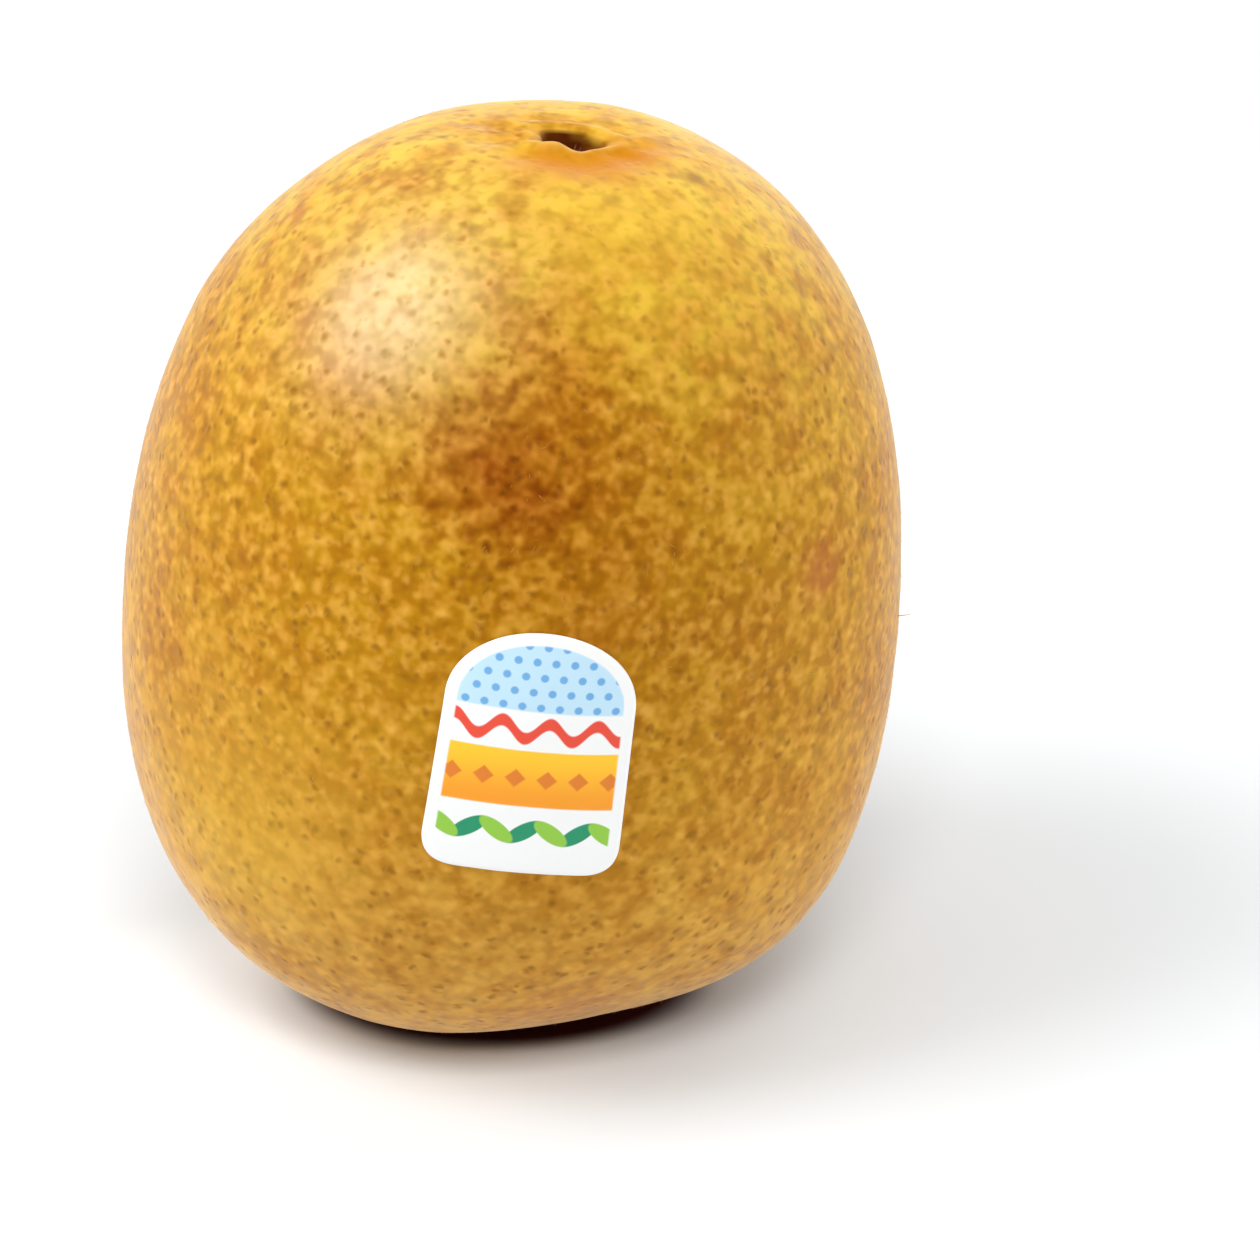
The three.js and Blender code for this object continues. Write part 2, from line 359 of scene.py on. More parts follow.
def stood(points):
    """The fruit leant over, sunk to its flat spot, pressed flat there and set at the frame's place.

    Also gives the place of the fruit's own origin.
    """
    turned = points @ np.array(Matrix.Rotation(LEAN, 3, "Y")).T
    raised = -turned[:, 2].min() - FLAT_SPOT_SUNK
    turned[:, 2] += raised
    low = turned[:, 2] < FLAT_SPOT_EASE
    turned[low, 2] = FLAT_SPOT_EASE * np.exp(turned[low, 2] / FLAT_SPOT_EASE - 1)
    lowest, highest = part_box("fruit")
    middle = (np.array(lowest) + np.array(highest)) / 2 / MM
    shift = (middle - (turned.min(0) + turned.max(0)) / 2)[:2]
    turned[:, :2] += shift
    return turned, (*shift, raised)


def places_of(mesh):
    places = np.zeros(len(mesh.vertices) * 3)
    mesh.vertices.foreach_get("co", places)
    return places.reshape(-1, 3)


def set_places(mesh, places):
    mesh.vertices.foreach_set("co", np.ascontiguousarray(places, dtype=np.float32).ravel())
    mesh.update()


def set_attribute(mesh, name, values):
    attribute = mesh.attributes.new(name, "FLOAT", "POINT")
    attribute.data.foreach_set("value", np.asarray(values, dtype=np.float32))


def finished_piece(name, mesh, material, slot_name, *nodes):
    """A mesh made into a smooth-shaded piece that rides on the fruit's body."""
    piece = bpy.data.objects.new(name, mesh)
    bpy.context.scene.collection.objects.link(piece)
    mesh.materials.append(material)
    mesh.shade_smooth()
    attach(piece, ROOT_BODY)
    if nodes:
        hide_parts(*nodes)
    return piece


def chain(bm, points):
    """Vertices joined by edges in a row, ready to be spun."""
    made = [bm.verts.new(point) for point in points]
    links = [bm.edges.new(pair) for pair in zip(made, made[1:])]
    return made + links


def spun(points, steps):
    """The closed mesh of a row of points turned about the Z axis."""
    bm = bmesh.new()
    bmesh.ops.spin(
        bm,
        geom=chain(bm, points),
        cent=(0, 0, 0),
        axis=(0, 0, 1),
        angle=math.tau,
        steps=steps,
        use_merge=True,
        use_duplicate=False,
    )
    bmesh.ops.remove_doubles(bm, verts=bm.verts, dist=1e-6)
    bmesh.ops.recalc_face_normals(bm, faces=bm.faces)
    mesh = bpy.data.meshes.new("spun")
    bm.to_mesh(mesh)
    bm.free()
    return mesh


def strewn(name, template, placings):
    """One mesh of many copies of a template mesh, each set by its own matrix."""
    bm = bmesh.new()
    for placing in placings:
        template.transform(placing)
        bm.from_mesh(template)
        template.transform(placing.inverted())
    mesh = bpy.data.meshes.new(name)
    bm.to_mesh(mesh)
    bm.free()
    return mesh


def strand(length, thickness, bend, sides, levels):
    """A tapering strand that rises from the origin and bends towards +X, in metres."""
    shares = np.linspace(0, 1, levels)
    outline = [(thickness / 2 * (1 - share) ** 0.6, 0, length * share) for share in shares]
    mesh = spun([(0, 0, 0)] + outline, sides)
    places = places_of(mesh)
    places[:, 0] += bend * (places[:, 2] / length) ** 2
    set_places(mesh, places * MM)
    return mesh


def tree_of(name):
    """A search tree of a finished piece, in metres."""
    return BVHTree.FromObject(bpy.data.objects[name], bpy.context.evaluated_depsgraph_get())


class Bench:
    """Places shader nodes in one tree and wires them up."""

    def __init__(self, tree):
        self.tree = tree

    def node(self, kind, **settings):
        made = self.tree.nodes.new(kind)
        for name, value in settings.items():
            setattr(made, name, value)
        return made

    def feed(self, socket, value):
        """Wires a socket to another one, or sets it to a plain value."""
        if isinstance(value, bpy.types.NodeSocket):
            self.tree.links.new(value, socket)
        elif socket.type == "RGBA" and len(value) == 3:
            socket.default_value = (*value, 1)
        else:
            socket.default_value = value

    def math(self, operation, *values):
        made = self.node("ShaderNodeMath", operation=operation)
        for socket, value in zip(made.inputs, values):
            self.feed(socket, value)
        return made.outputs[0]

    def times(self, *values):
        return self.math("MULTIPLY", *values)

    def plus(self, *values):
        return self.math("ADD", *values)

    def less(self, *values):
        return self.math("SUBTRACT", *values)

    def larger(self, *values):
        return self.math("MAXIMUM", *values)

    def square_sum(self, first, second):
        return self.plus(self.times(first, first), self.times(second, second))

    def from_middle(self, value, pitch):
        """How far a value lies from the middle of its step, where steps repeat at a pitch."""
        return self.less(self.math("FLOORED_MODULO", value, pitch), pitch / 2)

    def vector(self, operation, *values):
        made = self.node("ShaderNodeVectorMath", operation=operation)
        for socket, value in zip(made.inputs, values):
            self.feed(socket, value)
        return made.outputs["Value" if operation in ("DISTANCE", "DOT_PRODUCT") else "Vector"]

    def parts(self, vector):
        """A vector's X, Y and Z."""
        made = self.node("ShaderNodeSeparateXYZ")
        self.feed(made.inputs[0], vector)
        return made.outputs

    def attribute(self, name):
        return self.node("ShaderNodeAttribute", attribute_name=name).outputs["Fac"]

    def scaled(self, vector, factor):
        made = self.node("ShaderNodeVectorMath", operation="SCALE")
        self.feed(made.inputs[0], vector)
        self.feed(made.inputs["Scale"], factor)
        return made.outputs[0]

    def blend(self, share, first, second, mode="MIX"):
        """The first colour turned into the second by a share."""
        made = self.node("ShaderNodeMix", data_type="RGBA", blend_type=mode)
        for place, value in ((0, share), (6, first), (7, second)):
            self.feed(made.inputs[place], value)
        return made.outputs[2]

    def ramp(self, value, start, end, low=0.0, high=1.0, kind="SMOOTHSTEP"):
        """A change from low to high as value goes from start to end, with soft ends unless it is LINEAR."""
        made = self.node("ShaderNodeMapRange", interpolation_type=kind)
        for name, given in (
            ("Value", value),
            ("From Min", start),
            ("From Max", end),
            ("To Min", low),
            ("To Max", high),
        ):
            self.feed(made.inputs[name], given)
        return made.outputs["Result"]

    def noise(self, vector, scale, detail=2.0, output="Fac"):
        made = self.node("ShaderNodeTexNoise")
        for name, given in (("Vector", vector), ("Scale", scale), ("Detail", detail)):
            self.feed(made.inputs[name], given)
        return made.outputs[output]

    def group(self, tree, **values):
        made = self.node("ShaderNodeGroup", node_tree=tree)
        for name, value in values.items():
            self.feed(made.inputs[name], value)
        return made.outputs


def new_group(name, inputs, outputs):
    """A shader node group with float or vector inputs and float outputs, and a bench for it."""
    tree = bpy.data.node_groups.new(name, "ShaderNodeTree")
    for title, default in inputs.items():
        kind = "NodeSocketVector" if default is None else "NodeSocketFloat"
        socket = tree.interface.new_socket(title, in_out="INPUT", socket_type=kind)
        if default is not None:
            socket.default_value = default
    for title in outputs:
        tree.interface.new_socket(title, in_out="OUTPUT", socket_type="NodeSocketFloat")
    bench = Bench(tree)
    return bench, bench.node("NodeGroupInput").outputs, bench.node("NodeGroupOutput").inputs


def spot_group():
    """Soft round spots, some left out: Spot rises to 1 in the middle of each."""
    known = bpy.data.node_groups.get("spots")
    if known:
        return known
    inputs = {"Vector": None, "Pitch": 1.1, "Warp": 0.5, "Reach": 0.4, "Share": 0.5}
    bench, given, out = new_group("spots", inputs, ("Spot",))
    spaced = bench.scaled(given["Vector"], bench.math("DIVIDE", 1 / MM, given["Pitch"]))
    wander = bench.noise(spaced, 1.3, 1.0, "Color")
    centred = bench.vector("SUBTRACT", wander, (0.5, 0.5, 0.5))
    warped = bench.vector("ADD", spaced, bench.scaled(centred, given["Warp"]))
    cells = bench.node("ShaderNodeTexVoronoi", feature="F1")
    bench.feed(cells.inputs["Vector"], warped)
    bench.feed(cells.inputs["Scale"], 1.0)
    chosen = bench.noise(bench.vector("ADD", spaced, (7.3, 2.1, 5.7)), 0.55, 0.0)
    start = bench.less(0.85, given["Share"])
    kept = bench.ramp(chosen, bench.less(start, 0.12), bench.plus(start, 0.12))
    spot = bench.ramp(cells.outputs["Distance"], 0.0, given["Reach"], 1.0, 0.0)
    bench.feed(out["Spot"], bench.times(spot, kept))
    return bench.tree


def grain_group():
    """Fine grain with a broader drift under it, both as values around a half."""
    known = bpy.data.node_groups.get("grain")
    if known:
        return known
    bench, given, out = new_group("grain", {"Vector": None, "Fine": 0.4, "Broad": 6.0}, ("Grain", "Drift"))
    for title, size, detail in (("Grain", "Fine", 1.0), ("Drift", "Broad", 3.0)):
        spaced = bench.scaled(given["Vector"], bench.math("DIVIDE", 1 / MM, given[size]))
        bench.feed(out[title], bench.noise(spaced, 1.0, detail))
    return bench.tree


def new_material(name):
    """A material with its Principled shader, a bench, and the object's own coordinates."""
    material = bpy.data.materials.new(name)
    material.use_nodes = True
    bench = Bench(material.node_tree)
    shader = material.node_tree.nodes["Principled BSDF"]
    where = bench.node("ShaderNodeTexCoord").outputs["Object"]
    return material, bench, shader.inputs, where


def skin_ground(bench, settings, from_stem, grain, blotch):
    """Gold at the stem end, bronze and then tan below, with darker drifts, blotches and a fine grain."""
    drift = bench.times(bench.less(grain["Drift"], 0.5), 0.014)
    browned = bench.ramp(bench.plus(from_stem, drift), *GOLD_TO_BRONZE)
    ground = bench.blend(browned, settings.gold, settings.bronze)
    ground = bench.blend(bench.ramp(from_stem, *BRONZE_TO_TAN, 0.0, 0.7), ground, settings.tan)
    ground = bench.blend(bench.ramp(grain["Drift"], 0.42, 0.68, 0.0, 0.55), ground, settings.deep)
    ground = bench.blend(bench.ramp(blotch, 0.35, 0.85, 0.0, 0.9, "LINEAR"), ground, settings.deep)
    grained = bench.ramp(from_stem, *GRAIN_SOFTENS, 0.7, 0.5)
    dark = bench.ramp(grain["Grain"], 0.52, 0.15, 0.0, 1.0, "LINEAR")
    ground = bench.blend(bench.times(dark, grained), ground, settings.speck)
    light = bench.ramp(grain["Grain"], 0.48, 0.85, 0.0, 1.0, "LINEAR")
    return bench.blend(bench.times(light, grained), ground, settings.fleck)


def skin_spots(bench, settings, where, from_stem, colour):
    """The colour with pale flecks, brown specks and dark dots, and the masks of the specks and the dots."""
    flecks = bench.group(spot_group(), Vector=where, Pitch=1.2, Warp=0.6, Reach=0.5, Share=0.55)["Spot"]
    colour = bench.blend(bench.times(flecks, 0.45), colour, settings.fleck)
    aside = bench.vector("ADD", where, (0.3, 0.1, 0.2))
    specks = bench.group(spot_group(), Vector=aside, Pitch=1.2, Warp=0.6, Reach=0.42, Share=0.5)["Spot"]
    strength = bench.ramp(from_stem, *SPECKS_BEGIN, 0.55, 0.75)
    colour = bench.blend(bench.times(specks, strength), colour, settings.speck)
    dots = bench.group(spot_group(), Vector=where, Pitch=0.9, Warp=0.4, Reach=0.38, Share=0.25)["Spot"]
    at_foot = bench.ramp(from_stem, *DOTS_THIN_OUT, 1.0, 0.35)
    strength = bench.times(bench.ramp(from_stem, *SPECKS_BEGIN, 0.2, 0.45), at_foot)
    return bench.blend(bench.times(dots, strength), colour, settings.dot), specks, dots


def skin_patches(bench, settings, where, grain, colour):
    """The colour with the larger patches on it, each with an uneven edge."""
    # Some patches stand for light: the shade patches are partly painted shade, the gold patch at the lower
    # left is painted light, and the patch at the waxy spot is a painted highlight.
    for place, reach, most, title in PATCHES:
        away = bench.vector("DISTANCE", where, in_metres(place))
        uneven = bench.times(bench.less(grain, 0.5), reach * 0.8 * MM)
        share = bench.ramp(bench.plus(away, uneven), 0.15 * reach * MM, 1.3 * reach * MM, most, 0.0)
        kind = "MULTIPLY" if title in TINTS else "MIX"
        colour = bench.blend(share, colour, getattr(settings, title), kind)
    return colour


def skin_material(settings, stem_end):
    """Golden skin with dense brown specks, sparser towards the stem end, and dark scars."""
    material, bench, shader, where = new_material("kiwi_skin")
    grain = bench.group(grain_group(), Vector=where, Fine=1.1, Broad=8.0)
    blotch = bench.group(grain_group(), Vector=where, Fine=2.3, Broad=14.0)["Grain"]
    scar = bench.attribute("scar")
    from_stem = bench.vector("DISTANCE", where, stem_end)
    colour = skin_ground(bench, settings, from_stem, grain, blotch)
    colour, specks, dots = skin_spots(bench, settings, where, from_stem, colour)
    colour = skin_patches(bench, settings, where, grain["Grain"], colour)
    # The orange basin: partly the skin's colour, partly painted shade on its front wall.
    colour = bench.blend(bench.times(bench.attribute("basin"), 0.95), colour, settings.basin)
    colour = bench.blend(bench.attribute("cork"), colour, settings.cork)
    scar_floor = bench.blend(bench.ramp(blotch, 0.35, 0.65), settings.scar, settings.bark)
    bench.feed(shader["Base Color"], bench.blend(scar, colour, scar_floor))

    to_shine = bench.vector("DISTANCE", where, in_metres(SHINE["at"]))
    waxy = bench.ramp(to_shine, 0.1 * SHINE["reach"] * MM, SHINE["reach"] * MM, 1.0, 0.0)
    rough = bench.ramp(grain["Grain"], 0.3, 0.7, 0.44, 0.56)
    rough = bench.less(rough, bench.times(waxy, 0.06))
    bench.feed(shader["Roughness"], bench.larger(rough, bench.larger(scar, bench.attribute("dull"))))
    worn = bench.times(bench.larger(specks, dots), 0.85)
    even = bench.ramp(grain["Grain"], 0.3, 0.62, 0.5, 1.0, "LINEAR")
    bench.feed(shader["Coat Weight"], bench.times(waxy, bench.times(bench.less(1.0, worn), even)))
    bump = bench.node("ShaderNodeBump")
    bench.feed(bump.inputs["Height"], bench.plus(bench.times(specks, 0.5), grain["Grain"]))
    bench.feed(bump.inputs["Distance"], 0.0001)
    bench.feed(bump.inputs["Strength"], 0.7)
    bench.feed(shader["Normal"], bump.outputs["Normal"])
    for name, value in SKIN_GLOSS.items():
        shader[name].default_value = value
    shader["Specular Tint"].default_value = (*settings.glint, 1)
    return material


class KiwiSkinSettings(bpy.types.PropertyGroup):
    lump_size: FloatProperty(name="Lump size", description="Spacing of the broad lumps, mm", default=9.0)
    lump_height: FloatProperty(name="Lump height", description="Height of the lumps, mm", default=0.16)
    dimple_size: FloatProperty(name="Dimple size", description="Spacing of fine dimples, mm", default=2.6)
    dimple_height: FloatProperty(name="Dimple height", description="Their height, mm", default=0.035)
    gold: colour_setting("Gold", "Ground colour near the stem end", "#d3ae34")
    bronze: colour_setting("Bronze", "Ground colour of the body", "#b6820e")
    deep: colour_setting("Deep", "Darker drifts of the ground", "#aa6a06")
    tan: colour_setting("Tan", "Ground colour near the blossom end", "#d8a347")
    speck: colour_setting("Speck", "Dense brown specks", "#855205")
    dot: colour_setting("Dot", "Sparse dark dots", "#6b430f")
    fleck: colour_setting("Fleck", "Pale spots", "#e3ab48")
    glint: colour_setting("Glint", "Tint of the skin's reflections", "#ffd27a")
    ruddy: colour_setting("Ruddy", "Reddish brown tint of the front patch", "#c8874a")
    # The shade tint is partly the skin's browner colour at the front, partly painted shade.
    shade: colour_setting("Shade", "Brown tint of the front's darker skin", "#dcae4a")
    blush: colour_setting("Blush", "Small reddish blemishes", "#a8582a")
    # The basin's orange is partly the skin's colour round the scar, partly painted shade on the basin's
    # front wall.
    basin: colour_setting("Basin", "The orange basin round the stalk scar", "#b87000")
    # Painted highlight: this paler colour lies where the key light's reflection falls on the waxy patch.
    painted_highlight: colour_setting("Cream", "The paler skin at the waxy patch", "#cbb878")
    cork: colour_setting("Cork", "The corky lips", "#d3a35a")
    scar: colour_setting("Scar", "The floor of the scars", "#521902")
    bark: colour_setting("Bark", "Paler dried tissue in the scars", "#6c3206")


def mark_skin(mesh, radius, angle, at_stem, wobble):
    """Shares that tell the material where the basin, the corky lips and the scars lie."""
    uneven = radius + 0.35 * wobble
    facing_front = ease(np.cos(angle - BASIN_TOWARD), -0.1, 0.8)
    # The basin share is weighted to the front wall: partly the skin's colour, partly painted shade there.
    set_attribute(mesh, "basin", at_stem * bell(uneven - 5.1, 2.6) * (0.1 + 0.9 * facing_front))
    set_attribute(mesh, "dull", at_stem * bell(radius - 3.5, 2.8))
    lip = np.where(at_stem, bell(uneven - 2.75, 0.4), bell(uneven - 3.4, 0.6))
    set_attribute(mesh, "cork", np.where(at_stem, 0.35 * facing_front, 0.65) * lip)
    narrowed = radius + 0.12 * wobble + 0.18 * ease(np.cos(angle), 0, 1)
    scar = np.where(at_stem, 1 - ease(narrowed, 2.0, 2.4), 1 - ease(uneven, 2.5, 3.1))
    set_attribute(mesh, "scar", scar)
    set_attribute(mesh, "stem_pole", at_stem * (radius < RING_STEP / 2))


def skin_mesh(settings):
    """The closed skin in the fruit's own frame, with its marks, and then stood in place."""
    blossom = half_profile(BLOSSOM_HALF, blossom_relief, -1)
    stem = half_profile(STEM_HALF, stem_relief, 1)
    rings = blossom + stem[-2::-1]
    mesh = spun([(radius, 0, height) for radius, height in rings], SKIN_STEPS)
    turned = places_of(mesh)
    radius = np.hypot(turned[:, 0], turned[:, 1])
    at_stem = turned[:, 2] > 0
    form = grown(turned)
    outward = form / np.linalg.norm(form, axis=1)[:, None]
    form = form + outward * (lumps(form, settings) * ease(radius, 2.0, 9.0))[:, None]
    standing, origin = stood(form)
    set_places(mesh, standing * MM)
    mesh["own_origin"] = [float(value) * MM for value in origin]
    wobble = np.array([noise.noise(Vector(point) * 1.2) for point in form])
    angle = np.arctan2(turned[:, 1], turned[:, 0])
    mark_skin(mesh, radius, angle, at_stem, wobble)
    return mesh


def pole_place(mesh):
    """The stem end's pole on the standing fruit."""
    marks = np.zeros(len(mesh.vertices), dtype=np.float32)
    mesh.attributes["stem_pole"].data.foreach_get("value", marks)
    return Vector(places_of(mesh)[int(np.argmax(marks))])


def check_against_frame(mesh):
    """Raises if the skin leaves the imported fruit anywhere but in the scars."""
    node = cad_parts["fruit"]
    tree = BVHTree.FromPolygons(
        [vertex.co for vertex in node.data.vertices], [tuple(face.vertices) for face in node.data.polygons]
    )
    marks = np.zeros(len(mesh.vertices), dtype=np.float32)
    mesh.attributes["scar"].data.foreach_get("value", marks)
    clear = places_of(mesh)[marks < 0.01]
    distances = [tree.find_nearest(place)[3] for place in clear[:: len(clear) // 9000]]
    if max(distances) > SKIN_TOLERANCE * MM:
        raise RuntimeError(f"the skin lies {max(distances) / MM:.2f} mm off the packed fruit")
    print(f"skin to frame: at most {max(distances) / MM:.3f} mm")


class KIWI_OT_skin(bpy.types.Operator):
    """Grow the fruit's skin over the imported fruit"""

    bl_idname = "kiwi.skin"
    bl_label = "Kiwi skin"

    def execute(self, context):
        settings = context.scene.kiwi_skin
        mesh = skin_mesh(settings)
        mesh.name = "kiwi_skin"
        check_against_frame(mesh)
        finished_piece("kiwi_skin", mesh, skin_material(settings, pole_place(mesh)), "skin", "fruit")
        return {"FINISHED"}


class KiwiLabelSettings(bpy.types.PropertyGroup):
    border: FloatProperty(name="Border", description="Width of the white border, mm", default=0.85)
    paper: colour_setting("Paper", "The film's white", "#f4f4f2")
    sky: colour_setting("Sky", "The pale field at the top", "#bfe0f2")
    drop: colour_setting("Drop", "The dots on the pale field", "#6aa9dc")
    red: colour_setting("Red", "The wave over the band", "#e8452c")
    yellow: colour_setting("Yellow", "The top of the band", "#ffc61a")
    orange: colour_setting("Orange", "The foot of the band", "#f79a08")
    rust: colour_setting("Rust", "The diamonds on the band", "#e07a10")
    green: colour_setting("Green", "The dark leaves", "#0a8f63")
    lime: colour_setting("Lime", "The light leaves", "#8fc63c")


def label_edge():
    """Points evenly spaced round the label's edge, anticlockwise from the middle of its foot, in mm."""
    foot, side, shoulder = -LABEL_HEIGHT / 2, LABEL_FOOT / 2, LABEL_SHOULDER / 2
    turns = np.linspace(0, 1, 40)[:, None]
    corner = np.array((side, foot))
    start = corner - (LABEL_CORNER, 0)
    end = corner + (0, LABEL_CORNER)
    right = start * (1 - turns) ** 2 + 2 * corner * turns * (1 - turns) + end * turns**2
    angles = np.linspace(0, math.pi, 160)
    level = LABEL_HEIGHT / 2 - LABEL_ARCH
    arch = np.stack((shoulder * np.cos(angles), level + LABEL_ARCH * np.sin(angles)), axis=1)
    left = right[::-1] * (-1, 1)
    path = np.concatenate(([(0, foot)], right, arch, left, [(0, foot)]))
    lengths = np.concatenate(([0], np.cumsum(np.linalg.norm(np.diff(path, axis=0), axis=1))))
    even = np.linspace(0, lengths[-1], LABEL_STEPS + 1)[:-1]
    return np.stack([np.interp(even, lengths, path[:, axis]) for axis in (0, 1)], axis=1)


def label_frame(tree, origin):
    """The label's middle on the skin, and its across, up and facing directions."""
    out = Vector(toward(LABEL_AROUND, 0))
    start = Vector((origin[0], origin[1], LABEL_LEVEL * MM)) + out * WIDTH * MM
    middle, facing, _, _ = tree.ray_cast(start, -out)
    across = Matrix.Rotation(LABEL_TURN, 3, facing) @ Vector((0, 0, 1)).cross(facing).normalized()
    return middle, across, facing.cross(across), facing


def label_mesh():
    """A closed film pressed on to the skin, with its print's own places and its distance from the edge."""
    tree = tree_of("kiwi_skin")
    middle, across, upwards, facing = label_frame(tree, bpy.data.objects["kiwi_skin"].data["own_origin"])
    shares = np.linspace(0, 1, LABEL_RINGS)
    back = [(share, 0, 0) for share in shares]
    face = [(share * 0.997, 0, 1) for share in shares[::-1]]
    mesh = spun(back + [(1, 0, 0.75)] + face, LABEL_STEPS)
    disc = places_of(mesh)
    share = np.hypot(disc[:, 0], disc[:, 1])
    step = np.round(np.arctan2(disc[:, 1], disc[:, 0]) / math.tau * LABEL_STEPS).astype(int) % LABEL_STEPS
    edge = label_edge()
    spots = edge[step] * share[:, None]
    places = []
    for spot, layer in zip(spots * MM, disc[:, 2]):
        start = middle + across * spot[0] + upwards * spot[1] + facing * WIDTH * MM
        on_skin = tree.ray_cast(start, -facing)[0]
        places.append(on_skin + facing * (LABEL_CLEAR + LABEL_THICKNESS * layer) * MM)
    set_places(mesh, np.array(places))
    gaps = [np.linalg.norm(edge - spot, axis=1).min() for spot in spots]
    set_attribute(mesh, "from_edge", gaps)
    uv = mesh.uv_layers.new(name="print")
    corners = np.array([loop.vertex_index for loop in mesh.loops])
    uv.data.foreach_set("uv", (spots[corners] / UV_SPAN + 0.5).astype(np.float32).ravel())
    return mesh


def print_group():
    """Masks of the label's five motifs, each 1 on its motif, from a place on the label in millimetres."""
    titles = ("Dots", "Wave", "Diamonds", "Leaf", "Other leaf")
    bench, given, out = new_group("label_print", {"X": 0.0, "Y": 0.0}, titles)
    row = bench.math("FLOOR", bench.math("DIVIDE", given["Y"], DOTS["rows"]))
    stagger = bench.times(bench.math("FLOORED_MODULO", row, 2.0), DOTS["pitch"] / 2)
    along = bench.from_middle(bench.plus(given["X"], stagger), DOTS["pitch"])
    over = bench.from_middle(given["Y"], DOTS["rows"])
    reach = bench.math("SQRT", bench.square_sum(along, over))
    bench.feed(out["Dots"], bench.ramp(reach, *DOTS["edge"], 1.0, 0.0))

    turns = bench.times(given["X"], math.tau / WAVE["length"])
    crest = bench.times(bench.math("SINE", turns), WAVE["swing"])
    off = bench.math("ABSOLUTE", bench.less(bench.less(given["Y"], WAVE["level"]), crest))
    bench.feed(out["Wave"], bench.ramp(off, *WAVE["edge"], 1.0, 0.0))

    beside = bench.math("ABSOLUTE", bench.from_middle(given["X"], DIAMONDS["pitch"]))
    above = bench.math("ABSOLUTE", bench.less(given["Y"], DIAMONDS["level"]))
    bench.feed(out["Diamonds"], bench.ramp(bench.plus(beside, above), *DIAMONDS["edge"], 1.0, 0.0))

    for title, shift, lean in (("Leaf", LEAVES["pitch"] / 2, LEAF_LEAN), ("Other leaf", 0.0, -LEAF_LEAN)):
        side = bench.from_middle(bench.plus(given["X"], shift), LEAVES["pitch"])
        rise = bench.less(given["Y"], LEAVES["level"])
        along = bench.plus(bench.times(side, math.cos(lean)), bench.times(rise, math.sin(lean)))
        across = bench.less(bench.times(rise, math.cos(lean)), bench.times(side, math.sin(lean)))
        far = bench.math("DIVIDE", along, LEAVES["length"] / 2)
        wide = bench.math("DIVIDE", across, LEAVES["width"] / 2)
        bench.feed(out[title], bench.ramp(bench.square_sum(far, wide), *LEAVES["edge"], 1.0, 0.0))
    return bench.tree


def label_material(settings):
    """White film with a generic print: dots on a pale field, a wave, a warm band of diamonds, leaves."""
    material, bench, shader, _ = new_material("label_film")
    parts = bench.parts(bench.node("ShaderNodeUVMap", uv_map="print").outputs[0])
    place = [bench.times(bench.less(parts[axis], 0.5), UV_SPAN) for axis in ("X", "Y")]
    prints = bench.group(print_group(), X=place[0], Y=place[1])
    border = settings.border
    inside = bench.ramp(bench.attribute("from_edge"), border - PRINT_SOFT, border + PRINT_SOFT)

    def between(low, high):
        """1 from the low to the high level on the label."""
        over_low = bench.ramp(place[1], low - PRINT_SOFT, low + PRINT_SOFT)
        return bench.times(over_low, bench.ramp(place[1], high - PRINT_SOFT, high + PRINT_SOFT, 1.0, 0.0))

    field = bench.blend(prints["Dots"], settings.sky, settings.drop)
    colour = bench.blend(between(*FIELD_LEVELS), settings.paper, field)
    colour = bench.blend(bench.times(prints["Wave"], between(*WAVE_LEVELS)), colour, settings.red)
    band = bench.blend(bench.ramp(place[1], *BAND_FADE), settings.orange, settings.yellow)
    band = bench.blend(prints["Diamonds"], band, settings.rust)
    colour = bench.blend(between(*BAND_LEVELS), colour, band)
    for title, leaf in (("Leaf", settings.green), ("Other leaf", settings.lime)):
        colour = bench.blend(bench.times(prints[title], between(*LEAF_LEVELS)), colour, leaf)
    bench.feed(shader["Base Color"], bench.blend(inside, settings.paper, colour))
    bench.feed(shader["Roughness"], bench.ramp(inside, 0.0, 1.0, 0.42, 0.36))
    shader["Specular IOR Level"].default_value = 0.4
    return material


class KIWI_OT_label(bpy.types.Operator):
    """Press the printed film on to the skin"""

    bl_idname = "kiwi.label"
    bl_label = "Fruit label"

    def execute(self, context):
        mesh = label_mesh()
        mesh.name = "fruit_label"
        film = label_material(context.scene.kiwi_label)
        finished_piece("fruit_label", mesh, film, "label_paper", "label")
        return {"FINISHED"}


class KiwiStrandSettings(bpy.types.PropertyGroup):
    seed: IntProperty(name="Seed", description="Seed of the strands' places", default=7)
    fibre_count: IntProperty(name="Fibres", description="Dried fibres in the stalk scar", default=16)
    fibre_length: FloatProperty(name="Fibre length", description="Longest fibre, mm", default=1.3)
    style_count: IntProperty(name="Styles", description="Dried styles in the blossom scar", default=34)
    style_length: FloatProperty(name="Style length", description="Longest style, mm", default=1.15)
    dried: colour_setting("Dried", "Dried plant fibre", "#8a6134")


def strand_material(settings):
    material, bench, shader, where = new_material("dried_strands")
    grain = bench.group(grain_group(), Vector=where, Fine=0.15, Broad=0.9)
    dark = tuple(channel * 0.4 for channel in settings.dried)
    faded = bench.ramp(grain["Drift"], 0.3, 0.7)
    bench.feed(shader["Base Color"], bench.blend(faded, dark, tuple(settings.dried)))
    bench.feed(shader["Roughness"], bench.ramp(grain["Grain"], 0.3, 0.7, 0.7, 0.9))
    return material


